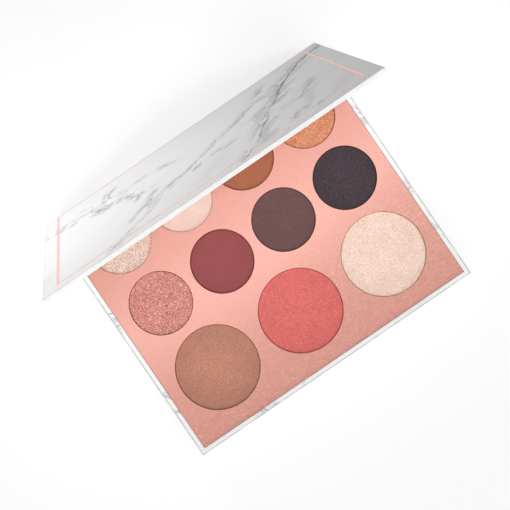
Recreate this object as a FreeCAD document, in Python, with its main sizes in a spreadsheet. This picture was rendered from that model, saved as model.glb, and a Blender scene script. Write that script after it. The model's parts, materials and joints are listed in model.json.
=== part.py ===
# Eyeshadow palette of wrapped board: a shallow tray with eleven pans under a face card, and a hinged lid
# with a mirror inside.
# Millimetres, +Z up. The origin is the middle of the tray's underside, and the hinge runs along the back,
# +Y, edge.
import FreeCAD
import Part
import os
import Sketcher

# Driving sizes: name, value, meaning
SIZES = [
    ("small_opening", 26.0, "diameter of a small opening in the face card"),
    ("large_opening", 34.5, "diameter of a large opening in the face card"),
    ("small_gap", 3.8, "card left between two small openings"),
    ("large_gap", 5.8, "card left between two large openings"),
    ("row_gap", 3.85, "depth left between the large row and the small row behind it"),
    ("side_margin", 7.3, "outer side of the tray to the openings of the wider row"),
    ("front_margin", 8.75, "outer front of the tray to the large openings"),
    ("back_margin", 7.1, "outer back of the tray to the small openings"),
    ("paper", 0.15, "thickness of the wrapping paper"),
    ("wall_board", 1.7, "thickness of the four wall boards"),
    ("floor_board", 1.5, "thickness of the base board"),
    ("backing_board", 1.0, "thickness of the card under the pans"),
    ("glue_layer", 0.15, "thickness of a glue disc under a pan"),
    ("glue_inset", 2.0, "pan's outside to the edge of its glue disc"),
    ("pan_depth", 4.0, "height of a pan"),
    ("pan_wall", 0.3, "sheet thickness of a pan"),
    ("pan_bevel", 0.4, "bevel round the foot of a pan"),
    ("pan_lip", 0.75, "how far the face card covers a pan's rim"),
    ("pan_clearance", 0.25, "room between a pan and the hole that it stands in"),
    ("powder_clearance", 0.05, "room between a powder cake and its pan"),
    ("powder_drop", 0.1, "top of a powder cake below its pan's rim"),
    ("powder_bevel", 0.3, "bevel round the top of a powder cake"),
    ("card_thickness", 0.8, "thickness of the face card"),
    ("rim_step", 0.5, "height of the tray's rim above the face card"),
    ("insert_fit", 0.1, "room between the insert and the tray's inside"),
    ("sheet_inset", 1.5, "tray's side to the edge of the sheet under it"),
    ("tray_turn_in", 12.0, "how far the wrap is turned in under the tray"),
    ("magnet_diameter", 8.0, "diameter of the closing magnets and their keepers"),
    ("magnet_thickness", 2.0, "thickness of a closing magnet"),
    ("magnet_web", 1.0, "insert's front edge to a magnet's hole"),
    ("magnet_clearance", 0.1, "room round a magnet or keeper in its hole"),
    ("lid_ply", 0.7, "thickness of the lid's outer board"),
    ("lid_turn_in", 3.0, "how far the wrap is turned in inside the lid"),
    ("liner_fit", 0.1, "room between the lid's liner and the turned-in wrap"),
    ("mirror_margin", 14.0, "lid's edge to the mirror's window"),
    ("mirror_glass", 0.6, "thickness of the mirror"),
    ("mirror_glue", 0.1, "thickness of the glue behind the mirror"),
    ("mirror_clearance", 0.1, "room between the mirror and its window"),
    ("liner_overlap", 1.0, "how far the liner covers the mirror's edge"),
    ("foil_width", 1.0, "width of the foil line"),
    ("foil_thickness", 0.06, "thickness of the foil"),
    ("foil_side_margin", 5.6, "lid's short sides to the foil line"),
    ("foil_free_margin", 6.35, "lid's free edge to the foil line"),
    ("foil_hinge_margin", 1.0, "lid's hinge edge to the foil line"),
    ("hinge_paper", 0.12, "thickness of the hinge paper"),
    ("hinge_fold", 0.03, "inner radius of the hinge paper's fold"),
    ("hinge_leaf", 6.0, "height of the hinge paper on the back wall"),
    ("parting_gap", 0.15, "gap between the shut lid and the tray"),
    ("open_angle", 73.5, "angle of the lid, 0 when it is shut"),
]

# Worked-out sizes: name and formula, each over the driving sizes and the rows above it
LAYOUT = [
    ("rim", "Sizes.wall_board + 2 * Sizes.paper"),
    ("edge_round", "2 * Sizes.paper"),
    ("small_pitch", "Sizes.small_opening + Sizes.small_gap"),
    ("large_pitch", "Sizes.large_opening + Sizes.large_gap"),
    ("small_pan", "Sizes.small_opening + 2 * Sizes.pan_lip"),
    ("large_pan", "Sizes.large_opening + 2 * Sizes.pan_lip"),
    ("small_row_width", "4 * Sizes.small_opening + 3 * Sizes.small_gap"),
    ("large_row_width", "3 * Sizes.large_opening + 2 * Sizes.large_gap"),
    ("width", "2 * Sizes.side_margin + max(small_row_width; large_row_width)"),
    ("front_part", "Sizes.front_margin + Sizes.large_opening + Sizes.row_gap"),
    ("back_part", "2 * Sizes.small_opening + Sizes.small_gap + Sizes.back_margin"),
    ("depth", "front_part + back_part"),
    ("front_row", "Sizes.front_margin + Sizes.large_opening / 2 - depth / 2"),
    ("back_row", "depth / 2 - Sizes.back_margin - Sizes.small_opening / 2"),
    ("middle_row", "back_row - small_pitch"),
    ("floor_bottom", "2 * Sizes.paper"),
    ("floor_top", "floor_bottom + Sizes.floor_board"),
    ("backing_top", "floor_top + Sizes.backing_board"),
    ("pan_bottom", "backing_top + Sizes.glue_layer"),
    ("pan_top", "pan_bottom + Sizes.pan_depth"),
    ("height", "pan_top + Sizes.card_thickness + Sizes.rim_step"),
    ("wall_height", "height - Sizes.paper - floor_top"),
    ("boards_width", "width - 2 * Sizes.paper"),
    ("boards_depth", "depth - 2 * Sizes.paper"),
    ("insert_width", "width - 2 * rim - 2 * Sizes.insert_fit"),
    ("insert_depth", "depth - 2 * rim - 2 * Sizes.insert_fit"),
    ("magnet_inset", "rim + Sizes.insert_fit + Sizes.magnet_web + Sizes.magnet_diameter / 2"),
    ("magnet_row", "magnet_inset - depth / 2"),
    ("magnet_hole", "Sizes.magnet_diameter + 2 * Sizes.magnet_clearance"),
    ("hinge_offset", "Sizes.hinge_paper + Sizes.hinge_fold"),
    ("hinge_y", "depth / 2 + hinge_offset"),
    ("hinge_z", "height + Sizes.parting_gap / 2"),
    ("hinge_width", "width - 2 * edge_round"),
    ("lid_middle", "-hinge_y"),
    ("lid_inside", "Sizes.parting_gap / 2"),
    ("frame_bottom", "lid_inside + Sizes.paper"),
    ("frame_ply", "Sizes.mirror_glass + Sizes.mirror_glue"),
    ("frame_top", "frame_bottom + frame_ply"),
    ("lid_outside", "frame_top + Sizes.lid_ply + Sizes.paper"),
    ("liner_inset", "Sizes.lid_turn_in + Sizes.liner_fit"),
    ("window_width", "width - 2 * Sizes.mirror_margin"),
    ("window_depth", "depth - 2 * Sizes.mirror_margin"),
    ("mirror_width", "window_width - 2 * Sizes.mirror_clearance"),
    ("mirror_depth", "window_depth - 2 * Sizes.mirror_clearance"),
    ("foil_outer_width", "width - 2 * Sizes.foil_side_margin"),
    ("foil_outer_depth", "depth - Sizes.foil_free_margin - Sizes.foil_hinge_margin"),
    ("foil_middle", "lid_middle + (Sizes.foil_free_margin - Sizes.foil_hinge_margin) / 2"),
]

# Where the pans stand: name, across, row, small or large
SMALL_STEPS = ("-1.5", "-0.5", "0.5", "1.5")
LARGE_STEPS = ("-1", "0", "1")
PAN_ROWS = [
    ("back_row", "small", SMALL_STEPS, ("champagne", "cream", "tan", "copper")),
    ("middle_row", "small", SMALL_STEPS, ("rose", "burgundy", "brown", "black")),
    ("front_row", "large", LARGE_STEPS, ("bronzer", "blush", "highlighter")),
]
PANS = [
    (name, f"{step} * Layout.{kind}_pitch", f"Layout.{row}", kind)
    for row, kind, steps, names in PAN_ROWS
    for step, name in zip(steps, names)
]
MAGNET_PLACES = ("-0.5 * Layout.large_pitch", "0.5 * Layout.large_pitch")

doc = FreeCAD.newDocument("EyeshadowPalette")
subparts = []


def fill_sheet(name, rows):
    """A sheet with one named row for each size."""
    sheet = doc.addObject("Spreadsheet::Sheet", name)
    for number, (alias, content, note) in enumerate(rows, start=1):
        sheet.set(f"A{number}", alias)
        sheet.set(f"B{number}", content)
        sheet.set(f"C{number}", note)
        sheet.setAlias(f"B{number}", alias)
    doc.recompute()
    return sheet


fill_sheet("Sizes", [(alias, str(number), note) for alias, number, note in SIZES])
layout = fill_sheet("Layout", [(alias, "=" + formula, "worked out") for alias, formula in LAYOUT])


def value(expression):
    """The number that an expression over the sheets has now."""
    return float(layout.evalExpression(expression))


def bind(item, **expressions):
    """Ties properties of an object to the sheets. A double underscore stands for a dot."""
    for path, expression in expressions.items():
        item.setExpression(path.replace("__", "."), expression)


def place(item, x="0", y="0", z="0"):
    bind(item, Placement__Base__x=x, Placement__Base__y=y, Placement__Base__z=z)


def lid_turn():
    """The turn from the shut lid to the open one, back over the hinge axis."""
    return FreeCAD.Rotation(FreeCAD.Vector(-1, 0, 0), value("Sizes.open_angle"))


def place_on_lid(item):
    """Puts an object that is drawn with the lid shut, about the hinge axis, at the lid's open angle."""
    item.Placement = FreeCAD.Placement(FreeCAD.Vector(), lid_turn())
    bind(item, Placement__Rotation__Angle="Sizes.open_angle")
    place(item, y="Layout.hinge_y", z="Layout.hinge_z")


def new_body(label, x="0", y="0", z="0"):
    body = doc.addObject("PartDesign::Body", label)
    body.Label = label
    place(body, x, y, z)
    subparts.append(body)
    return body


def new_lid_body(label):
    body = doc.addObject("PartDesign::Body", label)
    body.Label = label
    place_on_lid(body)
    subparts.append(body)
    return body


def new_sketch(body, purpose, y="0", z="0", plane="XY_Plane"):
    """A sketch on one of the body's own planes, moved by y within the plane and by z off it."""
    sketch = body.newObject("Sketcher::SketchObject", f"{body.Label}_{purpose}")
    origin_plane = next(item for item in body.Origin.OriginFeatures if item.Role == plane)
    sketch.AttachmentSupport = [(origin_plane, "")]
    sketch.MapMode = "FlatFace"
    bind(sketch, AttachmentOffset__Base__y=y, AttachmentOffset__Base__z=z)
    return sketch


def pin_point(sketch, geometry, point, x, y):
    """Holds a point of the sketch at x and y from the sketch's origin."""
    for kind, expression in (("DistanceX", x), ("DistanceY", y)):
        limit = Sketcher.Constraint(kind, -1, 1, geometry, point, value(expression))
        index = sketch.addConstraint(limit)
        sketch.setExpression(f"Constraints[{index}]", expression)


def draw_outline(sketch, points):
    """A closed outline of straight lines through points, each a pair of expressions."""
    corners = [FreeCAD.Vector(value(x), value(y), 0) for x, y in points]
    first = sketch.GeometryCount
    count = len(corners)
    for index in range(count):
        sketch.addGeometry(Part.LineSegment(corners[index], corners[(index + 1) % count]))
    for index, (x, y) in enumerate(points):
        following = first + (index + 1) % count
        sketch.addConstraint(Sketcher.Constraint("Coincident", first + index, 2, following, 1))
        pin_point(sketch, first + index, 1, x, y)


def draw_rectangle(sketch, width, depth):
    """A rectangle about the sketch's origin."""
    right, back = f"({width}) / 2", f"({depth}) / 2"
    left, front = f"-({width}) / 2", f"-({depth}) / 2"
    draw_outline(sketch, [(left, front), (right, front), (right, back), (left, back)])


def draw_circle(sketch, x, y, diameter):
    centre = FreeCAD.Vector(value(x), value(y), 0)
    circle = sketch.addGeometry(Part.Circle(centre, FreeCAD.Vector(0, 0, 1), value(diameter) / 2))
    pin_point(sketch, circle, 3, x, y)
    index = sketch.addConstraint(Sketcher.Constraint("Diameter", circle, value(diameter)))
    sketch.setExpression(f"Constraints[{index}]", diameter)


def pad(body, sketch, length):
    """Raises a sketch by length along the body's Z."""
    feature = body.newObject("PartDesign::Pad", f"{sketch.Name}_pad")
    feature.Profile = sketch
    bind(feature, Length=length)
    return feature


def cut(body, sketch, length):
    """Takes away what stands over a sketch, up to length along the body's Z."""
    feature = body.newObject("PartDesign::Pocket", f"{sketch.Name}_cut")
    feature.Profile = sketch
    feature.Reversed = True
    bind(feature, Length=length)
    return feature


def round_all_edges(body, base, radius):
    """Rounds every edge of what the body holds so far."""
    doc.recompute()
    feature = body.newObject("PartDesign::Fillet", f"{body.Label}_rounded")
    feature.Base = (base, [])
    feature.UseAllEdges = True
    bind(feature, Radius=radius)
    return feature


def revolve(body, sketch):
    """Turns a profile, drawn on the body's XZ plane, all the way round the body's Z."""
    feature = body.newObject("PartDesign::Revolution", f"{sketch.Name}_turned")
    feature.Profile = sketch
    feature.ReferenceAxis = (sketch, ["V_Axis"])
    feature.Angle = 360
    return feature


def make_plate(label, width, depth, thickness, x="0", y="0", z="0"):
    """A flat board of the tray, standing on z."""
    body = new_body(label, x, y, z)
    sketch = new_sketch(body, "outline")
    draw_rectangle(sketch, width, depth)
    pad(body, sketch, thickness)


def make_discs(label, places, thickness, on_lid=False):
    """A group of separate discs, each given as x, y, z and diameter."""
    discs = []
    for x, y, z, diameter in places:
        disc = doc.addObject("Part::Cylinder", f"{label}_disc")
        bind(disc, Radius=f"({diameter}) / 2", Height=thickness)
        place(disc, x, y, z)
        discs.append(disc)
    group = doc.addObject("Part::Compound", label)
    group.Label = label
    group.Links = discs
    if on_lid:
        place_on_lid(group)
    subparts.append(group)


def make_tray_boards():
    """The sheet under the tray, the base board, and the four walls that stand on it."""
    make_plate("bottom_sheet", "Layout.width - 2 * Sizes.sheet_inset", "Layout.depth - 2 * Sizes.sheet_inset",
               "Sizes.paper")
    make_plate("base_board", "Layout.boards_width", "Layout.boards_depth", "Sizes.floor_board",
               z="Layout.floor_bottom")
    long_wall = ("Layout.boards_width", "Sizes.wall_board", "Layout.wall_height")
    long_wall_y = "(Layout.boards_depth - Sizes.wall_board) / 2"
    make_plate("front_wall", *long_wall, y=f"-{long_wall_y}", z="Layout.floor_top")
    make_plate("back_wall", *long_wall, y=long_wall_y, z="Layout.floor_top")
    short_wall = ("Sizes.wall_board", "Layout.boards_depth - 2 * Sizes.wall_board", "Layout.wall_height")
    short_wall_x = "(Layout.boards_width - Sizes.wall_board) / 2"
    make_plate("left_wall", *short_wall, x=f"-{short_wall_x}", z="Layout.floor_top")
    make_plate("right_wall", *short_wall, x=short_wall_x, z="Layout.floor_top")


def make_tray_wrap():
    """Paper round the walls, over the rim, down their inside, and turned in under the base board."""
    body = new_body("tray_wrap")
    block = new_sketch(body, "block", z="Sizes.paper")
    draw_rectangle(block, "Layout.width", "Layout.depth")
    solid = pad(body, block, "Layout.height - Sizes.paper")
    round_all_edges(body, solid, "Layout.edge_round")
    boards = new_sketch(body, "boards", z="Layout.floor_bottom")
    draw_rectangle(boards, "Layout.boards_width", "Layout.boards_depth")
    cut(body, boards, "Layout.height - Sizes.paper - Layout.floor_bottom")
    mouth = new_sketch(body, "mouth", z="Layout.height - Sizes.paper")
    draw_rectangle(mouth, "Layout.width - 2 * Layout.rim", "Layout.depth - 2 * Layout.rim")
    cut(body, mouth, "Sizes.paper")
    underside = new_sketch(body, "underside", z="Sizes.paper")
    draw_rectangle(underside, "Layout.width - 2 * Sizes.tray_turn_in",
                   "Layout.depth - 2 * Sizes.tray_turn_in")
    cut(body, underside, "Sizes.paper")
    inside = new_sketch(body, "inside", z="Layout.floor_top")
    draw_rectangle(inside, "Layout.width - 2 * Layout.rim + 2 * Sizes.paper",
                   "Layout.depth - 2 * Layout.rim + 2 * Sizes.paper")
    draw_rectangle(inside, "Layout.width - 2 * Layout.rim", "Layout.depth - 2 * Layout.rim")
    pad(body, inside, "Layout.wall_height")


def make_insert():
    """The backing card, the carrier that stands round the pans, and the face card over their rims."""
    make_plate("insert_backing", "Layout.insert_width", "Layout.insert_depth", "Sizes.backing_board",
               z="Layout.floor_top")
    carrier = new_body("pan_carrier", z="Layout.backing_top")
    holes = new_sketch(carrier, "outline")
    draw_rectangle(holes, "Layout.insert_width", "Layout.insert_depth")
    for _, x, y, kind in PANS:
        draw_circle(holes, x, y, f"Layout.{kind}_pan + 2 * Sizes.pan_clearance")
    carrier_height = "Layout.pan_top - Layout.backing_top"
    pad(carrier, holes, carrier_height)
    seats = new_sketch(carrier, "magnet_seats", z=f"{carrier_height} - Sizes.magnet_thickness")
    for x in MAGNET_PLACES:
        draw_circle(seats, x, "Layout.magnet_row", "Layout.magnet_hole")
    cut(carrier, seats, "Sizes.magnet_thickness")
    card = new_body("face_card", z="Layout.pan_top")
    openings = new_sketch(card, "outline")
    draw_rectangle(openings, "Layout.insert_width", "Layout.insert_depth")
    for _, x, y, kind in PANS:
        draw_circle(openings, x, y, f"Sizes.{kind}_opening")
    pad(card, openings, "Sizes.card_thickness")


def make_pan(name, x, y, kind):
    """A round pressed-metal pan with a thin floor and wall, bevelled round its foot."""
    body = new_body(f"pan_{name}", x, y, "Layout.pan_bottom")
    profile = new_sketch(body, "profile", plane="XZ_Plane")
    radius = f"Layout.{kind}_pan / 2"
    inner = f"{radius} - Sizes.pan_wall"
    draw_outline(profile, [
        ("0", "0"),
        (f"{radius} - Sizes.pan_bevel", "0"),
        (radius, "Sizes.pan_bevel"),
        (radius, "Sizes.pan_depth"),
        (inner, "Sizes.pan_depth"),
        (inner, "Sizes.pan_wall + Sizes.pan_bevel"),
        (f"{inner} - Sizes.pan_bevel", "Sizes.pan_wall"),
        ("0", "Sizes.pan_wall"),
    ])
    revolve(body, profile)


def make_powder(name, x, y, kind):
    """A pressed powder cake that fills its pan almost to the rim, bevelled round its top and foot."""
    body = new_body(f"powder_{name}", x, y, "Layout.pan_bottom + Sizes.pan_wall")
    profile = new_sketch(body, "profile", plane="XZ_Plane")
    radius = f"Layout.{kind}_pan / 2 - Sizes.pan_wall - Sizes.powder_clearance"
    top = "Sizes.pan_depth - Sizes.pan_wall - Sizes.powder_drop"
    draw_outline(profile, [
        ("0", "0"),
        (f"{radius} - Sizes.pan_bevel", "0"),
        (radius, "Sizes.pan_bevel"),
        (radius, f"{top} - Sizes.powder_bevel"),
        (f"{radius} - Sizes.powder_bevel", top),
        ("0", top),
    ])
    revolve(body, profile)


def make_lid_layer(label, bottom, thickness, width, depth, window=None, holes=(), middle="Layout.lid_middle"):
    """A flat layer of the lid, drawn shut about its middle, with an optional window and round holes."""
    body = new_lid_body(label)
    sketch = new_sketch(body, "outline", y=middle, z=bottom)
    draw_rectangle(sketch, width, depth)
    if window:
        draw_rectangle(sketch, *window)
    for x, y, diameter in holes:
        draw_circle(sketch, x, y, diameter)
    pad(body, sketch, thickness)


def make_lid_wrap():
    """Paper over the outside of the lid and its edges, turned in a little way inside."""
    body = new_lid_body("lid_wrap")
    block = new_sketch(body, "block", y="Layout.lid_middle", z="Layout.lid_inside")
    draw_rectangle(block, "Layout.width", "Layout.depth")
    solid = pad(body, block, "Layout.lid_outside - Layout.lid_inside")
    round_all_edges(body, solid, "Layout.edge_round")
    boards = new_sketch(body, "boards", y="Layout.lid_middle", z="Layout.frame_bottom")
    draw_rectangle(boards, "Layout.boards_width", "Layout.boards_depth")
    cut(body, boards, "Layout.frame_ply + Sizes.lid_ply")
    inside = new_sketch(body, "inside", y="Layout.lid_middle", z="Layout.lid_inside")
    draw_rectangle(inside, "Layout.width - 2 * Sizes.lid_turn_in", "Layout.depth - 2 * Sizes.lid_turn_in")
    cut(body, inside, "Sizes.paper")


def make_lid():
    """The lid's boards, mirror, liner, keepers, wrap and foil border."""
    window = ("Layout.window_width", "Layout.window_depth")
    keeper_holes = [(x, "Layout.magnet_row", "Layout.magnet_hole") for x in MAGNET_PLACES]
    boards = ("Layout.boards_width", "Layout.boards_depth")
    make_lid_layer("lid_board", "Layout.frame_top", "Sizes.lid_ply", *boards)
    make_lid_layer("lid_frame_board", "Layout.frame_bottom", "Layout.frame_ply", *boards, window,
                   keeper_holes)
    make_lid_wrap()
    mirror = ("Layout.mirror_width", "Layout.mirror_depth")
    mirror_back = "Layout.frame_bottom + Sizes.mirror_glass"
    make_lid_layer("mirror", "Layout.frame_bottom", "Sizes.mirror_glass", *mirror)
    make_lid_layer("mirror_adhesive", mirror_back, "Sizes.mirror_glue", *mirror)
    liner = ("Layout.width - 2 * Layout.liner_inset", "Layout.depth - 2 * Layout.liner_inset")
    mirror_view = tuple(f"{side} - 2 * Sizes.liner_overlap" for side in mirror)
    make_lid_layer("lid_liner", "Layout.lid_inside", "Sizes.paper", *liner, mirror_view)
    foil = ("Layout.foil_outer_width", "Layout.foil_outer_depth")
    foil_inside = tuple(f"{side} - 2 * Sizes.foil_width" for side in foil)
    make_lid_layer("foil_border", "Layout.lid_outside", "Sizes.foil_thickness", *foil, foil_inside,
                   middle="Layout.foil_middle")
    keeper_y = "Layout.lid_middle + Layout.magnet_row"
    keepers = [(x, keeper_y, "Layout.frame_bottom", "Sizes.magnet_diameter") for x in MAGNET_PLACES]
    make_discs("lid_keepers", keepers, "Layout.frame_ply", on_lid=True)


def make_hinge_strip():
    """Hinge paper on the back wall and on the lid's back edge, folded round the hinge axis between them."""
    tray_leaf = doc.addObject("Part::Box", "hinge_tray_leaf")
    bind(tray_leaf, Length="Layout.hinge_width", Width="Sizes.hinge_paper", Height="Sizes.hinge_leaf")
    place(tray_leaf, "-Layout.hinge_width / 2", "-Layout.hinge_offset", "-Sizes.hinge_leaf")
    lid_leaf = doc.addObject("Part::Box", "hinge_lid_leaf")
    lid_leaf.Placement = FreeCAD.Placement(FreeCAD.Vector(), lid_turn())
    bind(lid_leaf, Length="Layout.hinge_width", Width="Sizes.hinge_paper",
         Height="Layout.lid_outside - Layout.edge_round", Placement__Rotation__Angle="Sizes.open_angle")
    place(lid_leaf, "-Layout.hinge_width / 2", "-Layout.hinge_offset * cos(Sizes.open_angle)",
          "Layout.hinge_offset * sin(Sizes.open_angle)")
    inward, upward, along = FreeCAD.Vector(0, -1, 0), FreeCAD.Vector(0, 0, 1), FreeCAD.Vector(-1, 0, 0)
    along_hinge = FreeCAD.Rotation(inward, upward, along, "XYZ")
    bars = []
    bar_radii = {"hinge_fold_outside": "Layout.hinge_offset", "hinge_fold_inside": "Sizes.hinge_fold"}
    for name, radius in bar_radii.items():
        bar = doc.addObject("Part::Cylinder", name)
        bar.Placement = FreeCAD.Placement(FreeCAD.Vector(), along_hinge)
        bind(bar, Radius=radius, Height="Layout.hinge_width", Angle="Sizes.open_angle")
        place(bar, "Layout.hinge_width / 2")
        bars.append(bar)
    fold = doc.addObject("Part::Cut", "hinge_fold")
    fold.Base = bars[0]
    fold.Tool = bars[1]
    strip = doc.addObject("Part::MultiFuse", "hinge_strip")
    strip.Label = "hinge_strip"
    strip.Shapes = [tray_leaf, fold, lid_leaf]
    strip.Refine = True
    place(strip, y="Layout.hinge_y", z="Layout.hinge_z")
    subparts.append(strip)


def check_document():
    """Stops at any object that failed, any empty or invalid solid, and any cut that took nothing away."""
    doc.recompute()
    for item in doc.Objects:
        if {"Invalid", "Error"} & set(item.State):
            raise RuntimeError(f"{item.Label} failed: {item.State}")
        if item.TypeId == "PartDesign::Pocket" and item.Shape.Volume >= item.BaseFeature.Shape.Volume:
            raise RuntimeError(f"{item.Label} cuts nothing")
    for item in subparts:
        if item.Shape.isNull() or not item.Shape.isValid() or not item.Shape.Solids:
            raise RuntimeError(f"{item.Label} has no valid solid")


make_tray_boards()
make_tray_wrap()
make_insert()
for pan_name, pan_x, pan_y, pan_kind in PANS:
    make_pan(pan_name, pan_x, pan_y, pan_kind)
    make_powder(pan_name, pan_x, pan_y, pan_kind)
glue_places = [
    (x, y, "Layout.backing_top", f"Layout.{kind}_pan - 2 * Sizes.glue_inset") for _, x, y, kind in PANS
]
make_discs("pan_adhesive", glue_places, "Sizes.glue_layer")
magnet_z = "Layout.pan_top - Sizes.magnet_thickness"
magnet_places = [(x, "Layout.magnet_row", magnet_z, "Sizes.magnet_diameter") for x in MAGNET_PLACES]
make_discs("tray_magnets", magnet_places, "Sizes.magnet_thickness")
make_lid()
make_hinge_strip()
check_document()

os.makedirs("parts", exist_ok=True)
for subpart in subparts:
    subpart.Shape.exportStep(os.path.join("parts", f"{subpart.Label}.step"))
print(len(subparts), "sub-parts written")
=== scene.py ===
"""Looks of an eye and face palette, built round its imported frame.

The frame's pieces keep their shapes and get finishes of their own: marble paper, rose pearl card, foil,
mirror, boards and metal. The eleven powders and the hinge paper are modelled here, in place of their plain
solids. Pieces and patterns are laid out in millimetres. Meshes, lamps and the camera are placed in metres.
"""
import json
import math
import random

import bpy
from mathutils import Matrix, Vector
from mathutils.geometry import delaunay_2d_cdt


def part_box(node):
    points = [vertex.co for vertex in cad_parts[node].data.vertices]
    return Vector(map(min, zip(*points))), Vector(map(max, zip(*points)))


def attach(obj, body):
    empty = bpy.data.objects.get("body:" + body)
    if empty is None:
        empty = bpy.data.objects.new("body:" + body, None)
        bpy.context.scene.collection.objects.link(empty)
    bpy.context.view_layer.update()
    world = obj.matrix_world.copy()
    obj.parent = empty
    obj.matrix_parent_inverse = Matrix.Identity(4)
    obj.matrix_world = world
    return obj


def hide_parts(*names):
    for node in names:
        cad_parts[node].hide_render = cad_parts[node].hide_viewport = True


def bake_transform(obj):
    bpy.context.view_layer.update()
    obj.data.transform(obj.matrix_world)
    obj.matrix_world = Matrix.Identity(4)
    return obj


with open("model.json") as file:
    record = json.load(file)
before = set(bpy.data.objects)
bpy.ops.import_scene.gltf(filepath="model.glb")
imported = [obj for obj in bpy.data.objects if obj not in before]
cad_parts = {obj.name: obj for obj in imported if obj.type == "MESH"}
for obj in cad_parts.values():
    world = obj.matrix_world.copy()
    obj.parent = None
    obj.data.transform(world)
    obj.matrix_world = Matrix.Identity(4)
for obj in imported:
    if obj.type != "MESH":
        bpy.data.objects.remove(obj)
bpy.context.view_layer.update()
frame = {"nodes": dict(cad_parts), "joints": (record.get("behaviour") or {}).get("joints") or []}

MM = 0.001
PER_METRE = 1000.0
SEED = 7

# The frame's own sizes, in millimetres
hinge = frame["joints"][0]
OPEN_ANGLE = math.radians(-hinge["range_deg"][0])
HINGE_Y, HINGE_Z = (PER_METRE * part for part in hinge["pos_m"][1:])
tray_low, tray_high = (corner * PER_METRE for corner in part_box("tray_wrap"))
WIDTH, DEPTH = (tray_high - tray_low).xy
RIM_TOP = tray_high.z
LID_GAP = HINGE_Y - tray_high.y
LID_NORMAL = Vector((0, math.sin(OPEN_ANGLE), math.cos(OPEN_ANGLE)))
LID_OUTSIDE = PER_METRE * max(point.co.dot(LID_NORMAL) for point in frame["nodes"]["lid_wrap"].data.vertices)

# The marble's veins on the lid: darkness, half width, and points as (from the left edge, from the hinge edge)
LID_VEINS = [
    (0.5, 0.55, [(0, 26), (7, 29), (14, 33)]),
    (0.6, 0.55, [(17, 19), (22, 22), (22, 32), (24, 42)]),
    (0.75, 0.7, [(22, 33), (24, 39), (27, 45)]),
    (0.9, 0.7, [(32, 17), (30, 22), (29, 29)]),
    (0.6, 0.6, [(28, 30), (37, 35), (44, 34), (52, 38), (57, 41)]),
    (0.6, 0.7, [(27, 41), (34, 43), (36, 48), (40, 55), (39, 62)]),
    (0.9, 1.1, [(38, 53), (42, 56)]),
    (0.35, 0.6, [(46, 66), (44, 76), (38, 85)]),
    (0.75, 0.6, [(26, 106), (33, 98), (43, 89), (47, 83), (50, 76), (55, 71), (65, 65)]),
    (0.65, 0.5, [(65, 65), (72, 58), (80, 50), (86, 43), (94, 36)]),
    (0.3, 0.9, [(52, 75), (59, 73), (66, 76)]),
    (1.0, 1.0, [(131, 9), (122, 15), (118, 18), (114, 24), (107, 34)]),
    (1.0, 1.3, [(107, 34), (104, 41), (102, 48), (99, 56)]),
    (0.8, 0.7, [(93, 35), (98, 38), (105, 40)]),
    (0.7, 0.6, [(124, 10), (116, 15), (109, 24), (102, 31), (95, 37)]),
    (0.6, 0.5, [(113, 26), (108, 31), (104, 36), (97, 41)]),
    (0.5, 0.6, [(100, 17), (97, 27), (100, 33)]),
    (0.75, 0.7, [(99, 56), (95, 64), (92, 76)]),
    (0.95, 1.2, [(92, 76), (89, 83)]),
    (0.85, 0.8, [(89, 83), (87, 90), (82, 99), (79, 105)]),
    (0.4, 0.55, [(114, 57), (107, 72), (102, 85), (98, 98), (94, 106)]),
    (0.3, 0.5, [(103, 90), (108, 100)]),
]

# Broad grey clouds in the lid's print, written as its veins are. The last three are partly painted shade, for
# the light falling off towards the lid's right
LID_SHADES = [
    (0.7, 4.0, [(0, 25), (22, 29)]),
    (0.7, 4.0, [(22, 31), (41, 57)]),
    (0.7, 4.0, [(36, 86), (64, 66), (92, 39)]),
    (1.0, 6.5, [(122, 16), (106, 32), (101, 50)]),
    (0.8, 7.0, [(93, 57), (87, 100)]),
    (0.7, 5.0, [(56, 72), (78, 72)]),
    (0.5, 5.0, [(113, 57), (106, 94)]),
]

# Its veins round the tray, as (x, y) in the tray's own plane: they cross the rim and run on down the walls
TRAY_VEINS = [
    (1.0, 0.55, [(-67, 14.0), (-58, 12.0)]),
    (0.7, 0.5, [(-67, 6.0), (-58, 8.0)]),
    (0.4, 0.8, [(-67, -27), (-58, -29)]),
    (0.4, 0.8, [(-67, -36), (-58, -31)]),
    (0.7, 0.7, [(-31, -57), (-36, -50)]),
    (0.3, 0.45, [(-15, -57), (-20, -50)]),
    (0.6, 0.4, [(20, -58), (34, -61)]),
    (0.7, 1.0, [(67, 19), (58, 24)]),
    (0.2, 0.8, [(67, -11), (58, -15)]),
    (0.4, 0.9, [(67, -28), (58, -33)]),
    (0.3, 0.8, [(67, -37), (58, -33)]),
    (0.9, 1.0, [(-44, 50), (-40, 60)]),
    (0.5, 0.7, [(-9, 50), (-14, 60)]),
    (0.8, 1.2, [(31, 50), (38, 60)]),
    (0.4, 0.7, [(48, 50), (43, 60)]),
]

# Broad grey shades on the tray, written as its veins are
TRAY_SHADES = [
    (0.9, 2.5, [(-67, 10), (-58, 10)]),
    (0.7, 3.5, [(67, 24), (58, 29)]),
    (0.6, 3.0, [(67, -12), (58, -15)]),
    (0.7, 3.0, [(67, -31), (58, -33)]),
]

# How the marble's streaks lie, how long they are drawn, and how many half widths a vein's shade reaches
VEIN_LIE = math.radians(-50)
STREAK_DRAW = 2.8
HALO_REACH = 9.0

# How dark the veins' cores, soft shades and crackle are, and how far a broad shade counts as a vein's own
CORE_WEIGHT, SOFT_WEIGHT, CRACKLE_WEIGHT = 0.85, 0.42, 0.45
SHADE_WEIGHT = 0.8

# The most half widths by which a vein counts as being off
FAR_OFF = 99.0

# How far the pattern on the tray's walls is shifted for each millimetre of height
WALL_SLANT = (0.5, 0.6, 0.0)

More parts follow.
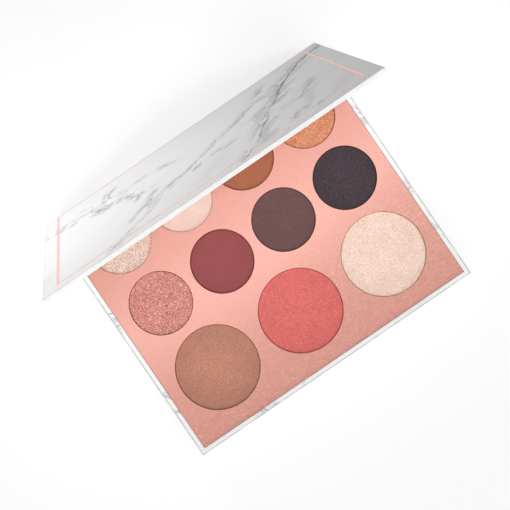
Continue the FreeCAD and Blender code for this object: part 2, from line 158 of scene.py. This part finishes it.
# The card's crinkle: how it lies, how its places are scaled, its size and height, and where it gets stronger
CRINKLE_LIE = math.radians(-24)
CRINKLE_SCALE = 0.34
CRINKLE_SIZE, CRINKLE_HEIGHT = 0.85, 0.045
CRINKLE_WAY = (0.25, -1.0, 0)

# Colours of paper, card, foil and glass, as linear light
PAPER_WHITE, CLOUD_GREY, VEIN_GREY = (0.915, 0.915, 0.91), (0.56, 0.565, 0.57), (0.16, 0.165, 0.17)
# The grey of the painted shade along the paper's outer edges
EDGE_SHADE_GREY = (0.42, 0.425, 0.43)
PEARL_DEEP, PEARL_PALE = (0.617, 0.256, 0.199), (0.64, 0.272, 0.213)
FOIL_DEEP, FOIL_PALE = (0.80, 0.45, 0.40), (0.87, 0.53, 0.47)
GLASS_DEEP, GLASS_PALE = (0.86, 0.875, 0.87), (0.90, 0.905, 0.90)

# A plain powder: the shares of pale and deep grains, how metallic the pale ones are, the grains' size and
# height in millimetres, roughness, how far the edge falls off, and a painted sheen: how much paler the
# middle is painted
PLAIN_POWDER = dict(
    pale_share=0.1, deep_share=0.1, metal=0.0, grain=0.5, relief=0.003, rough=0.7, edge=1.0, glow=0.02)

# Each powder's colour and those of its pale and deep grains, as linear light, and where it isn't plain
POWDERS = {
    "champagne": dict(
        colour=(0.648, 0.422, 0.353), pale=(0.85, 0.676, 0.581), deep=(0.411, 0.25, 0.196),
        pale_share=0.3, deep_share=0.24, metal=0.4, grain=0.3, relief=0.019, rough=0.42, edge=0.6),
    "cream": dict(
        colour=(0.775, 0.544, 0.473), pale=(0.791, 0.582, 0.513), deep=(0.742, 0.499, 0.425),
        rough=0.78, edge=0.35),
    "tan": dict(
        colour=(0.342, 0.106, 0.048), pale=(0.384, 0.125, 0.059), deep=(0.303, 0.089, 0.04),
        rough=0.76),
    "copper": dict(
        colour=(0.525, 0.181, 0.086), pale=(0.721, 0.316, 0.165), deep=(0.282, 0.079, 0.031),
        pale_share=0.28, deep_share=0.22, metal=0.5, grain=0.3, relief=0.019, rough=0.4),
    "rose": dict(
        colour=(0.516, 0.178, 0.148), pale=(0.819, 0.379, 0.318), deep=(0.233, 0.062, 0.051),
        pale_share=0.26, deep_share=0.22, metal=0.35, grain=0.3, relief=0.02, rough=0.44),
    "burgundy": dict(
        colour=(0.266, 0.052, 0.054), pale=(0.295, 0.062, 0.063), deep=(0.244, 0.046, 0.049),
        rough=0.66),
    "brown": dict(
        colour=(0.118, 0.051, 0.051), pale=(0.158, 0.079, 0.075), deep=(0.097, 0.042, 0.041),
        deep_share=0.2, grain=0.32, relief=0.005),
    "black": dict(
        colour=(0.031, 0.018, 0.024), pale=(0.068, 0.047, 0.059), deep=(0.022, 0.013, 0.018),
        pale_share=0.16, deep_share=0.24, grain=0.3, relief=0.006, glow=0.09),
    "bronzer": dict(
        colour=(0.485, 0.204, 0.137), pale=(0.601, 0.275, 0.191), deep=(0.39, 0.157, 0.103),
        pale_share=0.22, deep_share=0.22, grain=0.3, relief=0.009, rough=0.62, glow=0.1),
    "blush": dict(
        colour=(0.68, 0.129, 0.116), pale=(0.84, 0.226, 0.208), deep=(0.52, 0.079, 0.074),
        pale_share=0.16, deep_share=0.16, grain=0.26, relief=0.008, rough=0.62),
    "highlighter": dict(
        colour=(0.832, 0.582, 0.479), pale=(0.9, 0.76, 0.651), deep=(0.64, 0.412, 0.309),
        pale_share=0.26, deep_share=0.2, metal=0.2, grain=0.26, relief=0.0105, rough=0.46),
}

# Powder cakes, in millimetres: how far they go under the card, how far the top stands over the plain solid
# and swells in the middle, how its edge falls off, the lower bevel, and the grain height that shows facets
POWDER_UNDER_CARD = 0.4
RISE, CROWN = 0.3, 0.1
EDGE_GAP, EDGE_SLOPE, EDGE_DROP = 0.1, 0.2, 0.1
UNDERSIDE_BEVEL = 1.0
FACETED_FROM = 0.008

# Shares of a grain: how far one strays from its row, and the room between the last ones and the top's edge
GRAIN_JITTER, GRAIN_ROOM = 0.32, 0.6

# The share of the top's radius within which a point counts as top: a little over 1, to take in its edge
TOP_REACH = 1.001

# How gradually one tone of grain gives way to the next, as a share of the grains
TONE_BLEND = 0.06

# Hinge paper: the steps of its fold, and the distance in millimetres from the hinge's axis to its outer face
FOLD_STEPS = 6
FOLD_OUTSIDE = 0.03

# Studio: the floor's side in millimetres, its colour and how much it is lifted, and the surroundings' light
FLOOR_SIZE, FLOOR_COLOUR, FLOOR_LIFT = 8000.0, 0.45, 0.6
AMBIENT = 0.36

# Camera: sensor and lens, shift as a share of the picture, place in millimetres above the rim, and turn
SENSOR_WIDTH, LENS = 36.0, 85.13
CAMERA_SHIFT = (-0.0137, -0.0098)
CAMERA_X, CAMERA_Y, CAMERA_HEIGHT = 0.87, -0.13, 483.8
CAMERA_TURN = math.radians(-34.3)


class Nodes:
    """Adds and links the nodes of one node tree."""

    def __init__(self, tree):
        self.tree = tree

    def add(self, kind, feeds, **settings):
        """A new node with its settings, and with each named or numbered input fed."""
        node = self.tree.nodes.new(kind)
        for name, setting in settings.items():
            setattr(node, name, setting)
        for socket, source in feeds.items():
            self.feed(node.inputs[socket], source)
        return node

    def feed(self, socket, source):
        """Links an output to the input, or sets the input to a constant."""
        if isinstance(source, bpy.types.NodeSocket):
            self.tree.links.new(source, socket)
        else:
            socket.default_value = source

    def math(self, operation, *sources, clamp=False):
        """A number worked out from numbers."""
        feeds = dict(enumerate(sources))
        return self.add("ShaderNodeMath", feeds, operation=operation, use_clamp=clamp).outputs[0]

    def vector(self, operation, *sources):
        """A vector, or a number for a distance or a dot product, worked out from vectors."""
        node = self.add("ShaderNodeVectorMath", dict(enumerate(sources)), operation=operation)
        return node.outputs["Value" if operation in ("DOT_PRODUCT", "DISTANCE") else "Vector"]

    def scale(self, source, factor):
        """A vector times a number."""
        return self.add("ShaderNodeVectorMath", {0: source, 3: factor}, operation="SCALE").outputs[0]

    def ramp(self, source, low, high, start=0.0, end=1.0):
        """Start where the source is at low or under it, end from high on, and smooth between."""
        feeds = {"Value": source, "From Min": low, "From Max": high, "To Min": start, "To Max": end}
        return self.add("ShaderNodeMapRange", feeds, interpolation_type="SMOOTHSTEP").outputs[0]

    def noise(self, place, size, detail=2.0, roughness=0.5):
        """Soft blotches of about that size: a number from 0 to 1."""
        feeds = {"Vector": place, "Scale": 1 / size, "Detail": detail, "Roughness": roughness}
        return self.add("ShaderNodeTexNoise", feeds).outputs[0]

    def drift(self, place, size, reach, detail=2.0):
        """A vector that wanders smoothly, with about that reach."""
        feeds = {"Vector": place, "Scale": 1 / size, "Detail": detail}
        wander = self.add("ShaderNodeTexNoise", feeds).outputs[1]
        return self.scale(self.vector("SUBTRACT", wander, (0.5, 0.5, 0.5)), reach)

    def turn(self, place, angle, factor, kind):
        """The place scaled along X and then turned about Z or, for the kind TEXTURE, the reverse of that."""
        feeds = {"Vector": place, "Rotation": (0, 0, angle), "Scale": (factor, 1.0, 1.0)}
        return self.add("ShaderNodeMapping", feeds, vector_type=kind).outputs[0]

    def mix(self, share, first, second):
        """A colour between two colours."""
        node = self.add("ShaderNodeMix", {0: share, 6: rgba(first), 7: rgba(second)}, data_type="RGBA")
        return node.outputs[2]

    def bump(self, height, reach):
        """A surface normal for heights of 0 to 1 that stand for 0 to reach millimetres."""
        return self.add("ShaderNodeBump", {"Height": height, "Distance": reach * MM}).outputs[0]

    def place(self):
        """Where a point of the piece is at rest, in millimetres."""
        spot = self.tree.nodes.new("ShaderNodeTexCoord").outputs["Object"]
        return self.scale(spot, PER_METRE)

    def attribute(self, name):
        """A number that the mesh carries."""
        return self.add("ShaderNodeAttribute", {}, attribute_name=name).outputs["Fac"]


def rgba(colour):
    """A colour with full alpha. A linked colour stays as it is."""
    return colour if isinstance(colour, bpy.types.NodeSocket) else (*colour, 1.0)


def new_material(name):
    """(material, its nodes, its main shader)."""
    material = bpy.data.materials.new(name)
    material.use_nodes = True
    shader = material.node_tree.nodes["Principled BSDF"]
    return material, Nodes(material.node_tree), shader


def set_shader(nodes, shader, **feeds):
    """Feeds the main shader's inputs, whose names are written with underscores."""
    for name, source in feeds.items():
        nodes.feed(shader.inputs[name.replace("_", " ")], source)


def nearest_vein(nodes, place, veins):
    """Distance to the nearest vein, counted in that vein's half width. Pale veins count as further off."""
    nearest = FAR_OFF
    for darkness, half_width, points in veins:
        for start, end in zip(points, points[1:]):
            start = Vector((*start, 0))
            along = Vector((*end, 0)) - start
            from_start = nodes.vector("SUBTRACT", place, start)
            share = nodes.vector("DOT_PRODUCT", from_start, along / along.length_squared)
            share = nodes.math("ADD", share, 0.0, clamp=True)
            foot = nodes.vector("MULTIPLY_ADD", along, share, start)
            off = nodes.vector("DISTANCE", place, foot)
            widths_off = nodes.math("MULTIPLY_ADD", off, 1 / half_width, 1 - darkness)
            nearest = nodes.math("MINIMUM", widths_off, nearest)
    return nearest


def marble_darkness(nodes, sheet, solid, veins, shades):
    """How dark the marble print is, from 0 to 1, at a place on the sheet."""
    wander = nodes.vector("ADD", sheet, nodes.drift(solid, size=14.0, reach=5.0))
    wander = nodes.vector("ADD", wander, nodes.drift(solid, size=2.6, reach=1.9, detail=4.0))
    flat_wander = nodes.vector("MULTIPLY", wander, (1, 1, 0))
    nearest = nearest_vein(nodes, flat_wander, veins)
    shaded = nodes.ramp(nearest_vein(nodes, flat_wander, shades), 0.0, 1.5, start=1.0, end=0.0)
    lie = nodes.turn(wander, VEIN_LIE, STREAK_DRAW, "TEXTURE")
    streaks = nodes.noise(lie, size=4.0, detail=4.0)
    patchy = nodes.ramp(nodes.noise(solid, size=9.0, detail=4.0), 0.36, 0.62)
    broken = nodes.ramp(nodes.noise(solid, size=4.0, detail=4.0), 0.34, 0.56, start=0.35, end=1.0)
    core = nodes.math("MULTIPLY", nodes.ramp(nearest, 0.0, 0.9, start=1.0, end=0.0), broken)
    halo = nodes.math("MULTIPLY", nodes.ramp(nearest, 0.0, HALO_REACH, start=1.0, end=0.0), patchy)
    halo = nodes.math("MAXIMUM", halo, nodes.math("MULTIPLY", shaded, SHADE_WEIGHT))
    soft = nodes.math("MULTIPLY", halo, nodes.ramp(streaks, 0.36, 0.66))
    ridge = nodes.math("ABSOLUTE", nodes.math("SUBTRACT", streaks, 0.5))
    crackle = nodes.math("MULTIPLY", nodes.ramp(ridge, 0.0, 0.045, start=1.0, end=0.0), halo)
    cloud = nodes.ramp(nodes.noise(lie, size=16.0, detail=5.0), 0.46, 0.74, start=0.0, end=0.14)
    dark = nodes.math("MULTIPLY_ADD", core, CORE_WEIGHT, cloud)
    dark = nodes.math("MULTIPLY_ADD", soft, SOFT_WEIGHT, dark)
    return nodes.math("MULTIPLY_ADD", crackle, CRACKLE_WEIGHT, dark, clamp=True)


def marble_colour(nodes, darkness):
    """The print's colour: white paper, soft grey clouds and charcoal veins."""
    soft = nodes.mix(nodes.ramp(darkness, 0.0, 0.45), PAPER_WHITE, CLOUD_GREY)
    return nodes.mix(nodes.ramp(darkness, 0.4, 1.0), soft, VEIN_GREY)


def edge_distance(nodes, sheet, width, depth):
    """How far a place on a sheet is from the nearest side of a rectangle round the middle."""
    parts = nodes.add("ShaderNodeSeparateXYZ", {0: nodes.vector("ABSOLUTE", sheet)}).outputs
    beside = nodes.math("SUBTRACT", width / 2, parts[0])
    before = nodes.math("SUBTRACT", depth / 2, parts[1])
    return nodes.math("MINIMUM", beside, before)


def marble_paper(name, sheet_of, veins, shades, edge_shade_of):
    """Satin white paper with a marble print, and painted shade: a grey line along its folded edges."""
    material, nodes, shader = new_material(name)
    solid = nodes.place()
    sheet = sheet_of(nodes, solid)
    darkness = marble_darkness(nodes, sheet, solid, veins, shades)
    uneven = nodes.ramp(nodes.noise(solid, size=6.0, detail=3.0), 0.3, 0.6, start=0.55, end=1.0)
    # Painted shade: the outer edges are greyed where the rounded edges would fall into shade
    painted_shading = nodes.math("MULTIPLY", edge_shade_of(nodes, solid, sheet), uneven)
    colour = nodes.mix(painted_shading, marble_colour(nodes, darkness), EDGE_SHADE_GREY)
    fibres = nodes.noise(solid, size=0.22, detail=3.0, roughness=0.6)
    set_shader(nodes, shader, Base_Color=colour, Normal=nodes.bump(fibres, 0.004),
               Roughness=nodes.ramp(fibres, 0.3, 0.7, start=0.45, end=0.55), Specular_IOR_Level=0.3)
    return material


def lid_sheet(nodes, solid):
    """Place on the lid's outer face: from the left edge, and from the hinge edge."""
    out_of_hinge = Vector((0, -math.cos(OPEN_ANGLE), math.sin(OPEN_ANGLE)))
    hinge_edge = out_of_hinge.dot((0, HINGE_Y, HINGE_Z)) + LID_GAP
    across = nodes.math("ADD", nodes.vector("DOT_PRODUCT", solid, (1, 0, 0)), WIDTH / 2)
    down = nodes.math("SUBTRACT", nodes.vector("DOT_PRODUCT", solid, out_of_hinge), hinge_edge)
    return nodes.add("ShaderNodeCombineXYZ", {0: across, 1: down}).outputs[0]


def lid_edge_shade(nodes, solid, sheet):
    """Where the lid's paper gets painted shade: half along its outer edges, less on its end faces, 0
    elsewhere.
    """
    middle = nodes.vector("SUBTRACT", sheet, (WIDTH / 2, DEPTH / 2, 0))
    near_edge = nodes.ramp(edge_distance(nodes, middle, WIDTH, DEPTH), 0.15, 0.5, start=0.5, end=0.0)
    depth = nodes.math("SUBTRACT", LID_OUTSIDE, nodes.vector("DOT_PRODUCT", solid, LID_NORMAL))
    return nodes.math("MULTIPLY", near_edge, nodes.ramp(depth, 0.0, 0.2, start=1.0, end=0.35))


def tray_sheet(nodes, solid):
    """Place on the wrap round the tray: the rim seen from above, with the walls drawn out aslant."""
    height = nodes.vector("DOT_PRODUCT", solid, (0, 0, 1))
    slant = nodes.scale(WALL_SLANT, nodes.math("SUBTRACT", height, RIM_TOP))
    return nodes.vector("MULTIPLY", nodes.vector("ADD", solid, slant), (1, 1, 0))


def tray_edge_shade(nodes, solid, sheet):
    """Where the tray's paper gets painted shade: 1 along its outer top edge, 0 elsewhere."""
    near_edge = nodes.ramp(edge_distance(nodes, solid, WIDTH, DEPTH), 0.2, 0.65, start=1.0, end=0.0)
    height = nodes.vector("DOT_PRODUCT", solid, (0, 0, 1))
    return nodes.math("MULTIPLY", near_edge, nodes.ramp(height, RIM_TOP - 0.6, RIM_TOP - 0.2))


def pearl_card(name):
    """Rose pearl card with a fine crinkled grain, which is stronger towards the front. The crinkle is also
    painted paler and darker in colour: painted light and shade, with some change of pigment.
    """
    material, nodes, shader = new_material(name)
    place = nodes.place()
    turned = nodes.turn(place, CRINKLE_LIE, CRINKLE_SCALE, "POINT")
    bent = nodes.vector("ADD", turned, nodes.drift(place, size=3.0, reach=0.9))
    crinkle = nodes.noise(bent, CRINKLE_SIZE)
    crease = nodes.math("ABSOLUTE", nodes.math("SUBTRACT", crinkle, 0.5))
    swell = nodes.math("MULTIPLY", crinkle, 0.8)
    relief = nodes.math("MULTIPLY_ADD", nodes.ramp(crease, 0.0, 0.12), 0.5, swell)
    frontward = nodes.vector("DOT_PRODUCT", place, CRINKLE_WAY)
    strength = nodes.ramp(frontward, 8.0, 40.0, start=0.12, end=1.0)
    relief = nodes.math("MULTIPLY", relief, strength)
    mottle = nodes.noise(place, size=0.9, detail=3.0)
    colour = nodes.mix(nodes.ramp(mottle, 0.3, 0.7), PEARL_DEEP, PEARL_PALE)
    # Painted light and shade: the crinkle's raised parts are painted paler and its hollows darker, more so
    # towards the front
    painted_shading = nodes.math("MULTIPLY", nodes.ramp(crinkle, 0.38, 0.62, start=-0.07, end=0.07), strength)
    colour = nodes.scale(colour, nodes.math("ADD", painted_shading, 1.0))
    set_shader(nodes, shader, Base_Color=colour, Metallic=0.1, IOR=1.62,
               Normal=nodes.bump(relief, CRINKLE_HEIGHT),
               Roughness=nodes.ramp(relief, 0.0, 1.0, start=0.25, end=0.28))
    return material


def foil(name):
    """Hot-stamped rose foil with a faint brushed haze."""
    material, nodes, shader = new_material(name)
    haze = nodes.noise(nodes.place(), size=0.35, detail=3.0, roughness=0.6)
    colour = nodes.mix(nodes.ramp(haze, 0.3, 0.7), FOIL_DEEP, FOIL_PALE)
    set_shader(nodes, shader, Base_Color=colour, Metallic=0.7, Normal=nodes.bump(haze, 0.003),
               Roughness=nodes.ramp(haze, 0.3, 0.7, start=0.3, end=0.42))
    return material


def plain_paper(name, colour, deep):
    """Uncoated paper or card with soft fibres."""
    material, nodes, shader = new_material(name)
    place = nodes.place()
    drawn = nodes.vector("MULTIPLY", place, (0.5, 1.2, 1.0))
    fibres = nodes.noise(drawn, size=0.5, detail=5.0, roughness=0.65)
    patches = nodes.ramp(nodes.noise(place, size=7.0, detail=3.0), 0.3, 0.7, start=0.5, end=1.0)
    share = nodes.math("MULTIPLY", nodes.ramp(fibres, 0.35, 0.7), patches)
    set_shader(nodes, shader, Base_Color=nodes.mix(share, colour, deep), Normal=nodes.bump(fibres, 0.01),
               Roughness=nodes.ramp(fibres, 0.3, 0.7, start=0.7, end=0.85))
    return material


def plain_metal(name, colour, rough):
    """Bare sheet metal with rolling lines."""
    material, nodes, shader = new_material(name)
    drawn = nodes.vector("MULTIPLY", nodes.place(), (0.15, 3.0, 3.0))
    lines = nodes.noise(drawn, size=0.6, detail=3.0)
    shade = tuple(0.85 * part for part in colour)
    set_shader(nodes, shader, Base_Color=nodes.mix(lines, shade, colour), Metallic=1.0,
               Normal=nodes.bump(lines, 0.002),
               Roughness=nodes.ramp(lines, 0.3, 0.7, start=rough, end=rough + 0.12))
    return material


def mirror_glass(name):
    """Silvered glass with the slightest haze of handling."""
    material, nodes, shader = new_material(name)
    haze = nodes.noise(nodes.place(), size=14.0, detail=4.0)
    set_shader(nodes, shader, Base_Color=nodes.mix(haze, GLASS_DEEP, GLASS_PALE), Metallic=1.0,
               Roughness=nodes.ramp(haze, 0.45, 0.8, start=0.015, end=0.05))
    return material


def pressed_powder(name, look):
    """Pressed powder: grains of three tones, the pale ones more metallic if any are, and a painted sheen in
    the middle.
    """
    material, nodes, shader = new_material(name)
    place = nodes.place()
    mottle = nodes.ramp(nodes.noise(place, size=1.6, detail=4.0), 0.3, 0.7, start=-0.03, end=0.03)
    tone = nodes.math("ADD", nodes.attribute("tone"), mottle)
    deep_end, pale_start = look["deep_share"], 1 - look["pale_share"]
    is_pale = nodes.ramp(tone, pale_start - TONE_BLEND, pale_start + TONE_BLEND)
    not_deep = nodes.ramp(tone, deep_end - TONE_BLEND, deep_end + TONE_BLEND)
    colour = nodes.mix(not_deep, look["deep"], look["colour"])
    colour = nodes.mix(is_pale, colour, look["pale"])
    patches = nodes.noise(place, size=7.0, detail=3.0)
    colour = nodes.scale(colour, nodes.ramp(patches, 0.3, 0.7, start=0.96, end=1.04))
    glow, rough, metal = look["glow"], look["rough"], look["metal"]
    # Painted sheen: the middle is painted paler and the edge darker, as light on a domed cake would show
    off_centre = nodes.attribute("off_centre")
    colour = nodes.scale(colour, nodes.ramp(off_centre, 0.0, 1.0, start=1 + glow, end=1 - glow))
    dust = nodes.noise(place, size=0.12, detail=3.0, roughness=0.7)
    set_shader(nodes, shader, Base_Color=colour, Normal=nodes.bump(dust, 0.012),
               Roughness=nodes.ramp(dust, 0.3, 0.7, start=rough, end=rough + 0.1))
    if metal:
        set_shader(nodes, shader, Metallic=nodes.ramp(is_pale, 0.0, 1.0, start=0.4 * metal, end=metal))
    return material


def ring_points(radius, count):
    """Points evenly round a circle."""
    turns = [math.tau * index / count for index in range(count)]
    return [Vector((radius * math.cos(turn), radius * math.sin(turn))) for turn in turns]


def grain_points(radius, grain, draw):
    """Points about a grain apart, in uneven rows inside a circle."""
    points = []
    row_gap = grain * math.sqrt(3) / 2
    reach = int(radius / row_gap) + 1
    jitter = GRAIN_JITTER * grain
    for row in range(-reach, reach + 1):
        for column in range(-reach, reach + 1):
            across = (column + 0.5 * (row % 2)) * grain + draw.uniform(-jitter, jitter)
            along = row * row_gap + draw.uniform(-jitter, jitter)
            if math.hypot(across, along) < radius - GRAIN_ROOM * grain:
                points.append(Vector((across, along)))
    return points


def add_piece(name, points, faces, material):
    """A mesh object from points in millimetres."""
    mesh = bpy.data.meshes.new(name)
    mesh.from_pydata([Vector(point) * MM for point in points], [], faces)
    mesh.materials.append(material)
    piece = bpy.data.objects.new(name, mesh)
    bpy.context.scene.collection.objects.link(piece)
    return piece


def close_below(points, faces, rim, spots, radius, middle, bottom):
    """Adds a cake's side and underside, with a bevelled lower edge, under the rim of its top."""
    rings = [rim]
    count = len(rim)
    for inset, height in ((0.0, bottom + UNDERSIDE_BEVEL), (UNDERSIDE_BEVEL, bottom)):
        rings.append(list(range(len(points), len(points) + count)))
        for spot in spots:
            inner = spot * (1 - inset / radius)
            points.append((middle.x + inner.x, middle.y + inner.y, height))
    for upper, lower in zip(rings, rings[1:]):
        for index in range(count):
            after = (index + 1) % count
            faces.append([upper[index], lower[index], lower[after], upper[after]])
    faces.append(rings[-1][::-1])


def make_powder(shade, look, material):
    """A pressed cake of powder: a grainy, slightly crowned top that stands in the card's opening."""
    node = f"powder_{shade}"
    low, high = (corner * PER_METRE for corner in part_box(node))
    middle = (low + high) / 2
    radius = (high.x - low.x) / 2
    foot_radius = radius - POWDER_UNDER_CARD - look["edge"] * EDGE_GAP
    top_radius = foot_radius - look["edge"] * EDGE_SLOPE
    foot_height = RISE - look["edge"] * (RISE + EDGE_DROP)
    draw = random.Random(f"{SEED} {shade}")
    rim_count = round(math.tau * radius / look["grain"])
    flat = [spot for ring in (radius, foot_radius, top_radius) for spot in ring_points(ring, rim_count)]
    flat += grain_points(top_radius, look["grain"], draw)
    flat, _, tops, origins, _, _ = delaunay_2d_cdt(flat, [], [], 0, 1e-6)
    points = []
    for spot in flat:
        inside = spot.length / top_radius
        height = foot_height
        if inside < TOP_REACH:
            height = RISE + CROWN * (1 - inside ** 2) + look["relief"] * draw.uniform(-1, 1)
        points.append((middle.x + spot.x, middle.y + spot.y, high.z + height))
    faces = [list(face) for face in tops]
    rim = sorted(range(len(flat)), key=lambda index: origins[index][0])[:rim_count]
    close_below(points, faces, rim, [flat[index] for index in rim], radius, middle, low.z)
    piece = add_piece(f"{shade}_powder", points, faces, material)
    below = len(faces) - len(tops)
    tones = [draw.random() for _ in tops] + [0.5] * below
    piece.data.attributes.new("tone", "FLOAT", "FACE").data.foreach_set("value", tones)
    # How far each point is from the middle, for the painted sheen
    off_centre = [min(spot.length / top_radius, 1.0) for spot in flat] + [1.0] * (len(points) - len(flat))
    piece.data.attributes.new("off_centre", "FLOAT", "POINT").data.foreach_set("value", off_centre)
    smooth = look["relief"] < FACETED_FROM
    piece.data.polygons.foreach_set("use_smooth", [smooth] * len(tops) + [False] * below)
    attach(piece, "tray")
    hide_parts(node)


def make_hinge_paper(material):
    """The hinge paper: a leaf down the back wall, a fold round the hinge and a leaf on the lid's edge."""
    low, high = (corner * PER_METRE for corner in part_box("hinge_strip"))
    fold_inside = HINGE_Y - low.y
    into_lid = Vector((math.sin(OPEN_ANGLE), math.cos(OPEN_ANGLE)))
    lid_leaf = (high.y - HINGE_Y + FOLD_OUTSIDE * math.cos(OPEN_ANGLE)) / into_lid.x
    outline = []
    for radius, sense in ((fold_inside, 1), (FOLD_OUTSIDE, -1)):
        side = [Vector((-radius, low.z - HINGE_Z))]
        for step in range(FOLD_STEPS + 1):
            turn = OPEN_ANGLE * step / FOLD_STEPS
            side.append(radius * Vector((-math.cos(turn), math.sin(turn))))
        side.append(side[-1] + lid_leaf * into_lid)
        outline += side[::sense]
    count = len(outline)
    points = [(x, HINGE_Y + spot.x, HINGE_Z + spot.y) for x in (low.x, high.x) for spot in outline]
    faces = []
    for index in range(count):
        after = (index + 1) % count
        faces.append([index, after, count + after, count + index])
    for first in range(count // 2 - 1):
        end = [first, count - 1 - first, count - 2 - first, first + 1]
        faces += [end, [count + index for index in end[::-1]]]
    piece = add_piece("hinge_paper", points, faces, material)
    thick_middle = (fold_inside + FOLD_OUTSIDE) / 2
    lid_side = thick_middle * Vector((0, -math.cos(OPEN_ANGLE), math.sin(OPEN_ANGLE)))
    end = (Vector((0, HINGE_Y, HINGE_Z)) + lid_side) * MM
    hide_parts("hinge_strip")
    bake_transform(piece)


def finish_frame(materials):
    """Gives each node of the frame a finish of its own, or that of its material slot."""
    for piece in frame["nodes"].values():
        for slot in piece.material_slots:
            slot.material = materials.get(piece.name) or materials[slot.material.name.split(".")[0]]


def seen_directly(nodes):
    """1 for what the camera sees, also in metal and through glass, and 0 for other light."""
    path = nodes.tree.nodes.new("ShaderNodeLightPath").outputs
    straight = nodes.math("MAXIMUM", path["Is Camera Ray"], path["Is Glossy Ray"])
    return nodes.math("MAXIMUM", straight, path["Is Transmission Ray"])


def make_floor():
    """A plain floor that keeps the shadow, and is lifted to white where it is seen."""
    material, nodes, shader = new_material("floor")
    set_shader(nodes, shader, Base_Color=rgba((FLOOR_COLOUR,) * 3), Roughness=0.9, Specular_IOR_Level=0.0)
    lift = nodes.math("MULTIPLY", seen_directly(nodes), FLOOR_LIFT)
    glow = nodes.add("ShaderNodeEmission", {"Strength": lift})
    both = nodes.add("ShaderNodeAddShader", {0: shader.outputs[0], 1: glow.outputs[0]})
    output = material.node_tree.nodes["Material Output"]
    nodes.feed(output.inputs["Surface"], both.outputs[0])
    side = FLOOR_SIZE / 2
    corners = [(-side, -side, 0), (side, -side, 0), (side, side, 0), (-side, side, 0)]
    add_piece("floor", corners, [[0, 1, 2, 3]], material)


def make_world():
    """Even white surroundings, dimmer as light than they look."""
    world = bpy.data.worlds.new("studio")
    bpy.context.scene.world = world
    world.use_nodes = True
    nodes = Nodes(world.node_tree)
    background = world.node_tree.nodes["Background"].inputs
    nodes.feed(background["Color"], (1, 1, 1, 1))
    nodes.feed(background["Strength"], nodes.ramp(seen_directly(nodes), 0.0, 1.0, start=AMBIENT, end=1.0))


def make_lamp(name, place, target, size, level, spread=180, in_gloss=True):
    """A soft box, wide and deep. Level 1 lights a white surface that faces it, at the target, to white."""
    data = bpy.data.lights.new(name, "AREA")
    data.shape = "RECTANGLE"
    data.size, data.size_y = size
    data.spread = math.radians(spread)
    away = Vector(place) - Vector(target)
    data.energy = level * math.pi ** 2 * away.length_squared
    if spread < 180:
        half = data.spread / 2
        data.energy *= 1 - half / math.tan(half)
    lamp = bpy.data.objects.new(name, data)
    lamp.visible_camera = False
    lamp.visible_glossy = in_gloss
    lamp.location = place
    lamp.rotation_euler = away.to_track_quat("Z", "Y").to_euler()
    bpy.context.scene.collection.objects.link(lamp)


def make_camera():
    """A camera that looks straight down, turned as the photograph is."""
    data = bpy.data.cameras.new("camera")
    data.sensor_width = SENSOR_WIDTH
    data.lens = LENS
    data.shift_x, data.shift_y = CAMERA_SHIFT
    camera = bpy.data.objects.new("camera", data)
    camera.location = Vector((CAMERA_X, CAMERA_Y, RIM_TOP + CAMERA_HEIGHT)) * MM
    camera.rotation_euler = (0, 0, CAMERA_TURN)
    bpy.context.scene.collection.objects.link(camera)
    bpy.context.scene.camera = camera


looks = {shade: PLAIN_POWDER | look for shade, look in POWDERS.items()}
powder_finishes = {}
for shade, look in looks.items():
    powder_finishes[f"powder_{shade}"] = pressed_powder(f"powder_{shade}", look)
tray_marble = marble_paper("tray_marble", tray_sheet, TRAY_VEINS, TRAY_SHADES, tray_edge_shade)
lid_marble = marble_paper("lid_marble", lid_sheet, LID_VEINS, LID_SHADES, lid_edge_shade)
finish_frame({
    "tray_wrap": tray_marble,
    "lid_wrap": lid_marble,
    "marble_paper": tray_marble,
    "underside_paper": plain_paper("underside", (0.84, 0.84, 0.83), (0.76, 0.76, 0.75)),
    "greyboard": plain_paper("board", (0.42, 0.40, 0.37), (0.30, 0.285, 0.26)),
    "insert_card": plain_paper("insert", (0.80, 0.79, 0.77), (0.70, 0.69, 0.67)),
    "pearl_card": pearl_card("pearl_card"),
    "liner_paper": plain_paper("liner", (0.92, 0.92, 0.91), (0.88, 0.88, 0.87)),
    "pan_metal": plain_metal("pan_metal", (0.80, 0.80, 0.81), 0.3),
    "glue": plain_paper("glue", (0.75, 0.72, 0.62), (0.66, 0.63, 0.54)),
    "magnet_metal": plain_metal("magnet_metal", (0.62, 0.62, 0.64), 0.25),
    "keeper_steel": plain_metal("keeper_steel", (0.52, 0.52, 0.54), 0.3),
    "mirror": mirror_glass("mirror"),
    "foil": foil("foil"),
    **powder_finishes,
})
for shade, look in looks.items():
    make_powder(shade, look, powder_finishes[f"powder_{shade}"])
make_hinge_paper(tray_marble)

make_floor()
make_world()
make_lamp("key_left", (-0.45, -0.18, 0.48), (0.0, 0.046, 0.0), (0.12, 0.12), 0.46, spread=22)
make_lamp("key_right", (0.45, -0.18, 0.48), (0.04, 0.04, 0.0), (0.12, 0.12), 0.41, spread=22)
make_lamp("strip", (0.06, -0.002, 0.48), (0.06, -0.002, 0.0), (0.45, 0.026), 0.20)
make_lamp("lid_side", (-0.07, 0.46, 0.075), (-0.095, 0.04, 0.055), (0.1, 0.1), 0.97, spread=46)
make_lamp("front", (-0.05, -0.95, 0.36), (0, 0, 0.03), (1.6, 0.65), 0.8, in_gloss=False)
make_camera()
bpy.context.scene.view_settings.view_transform = "Standard"
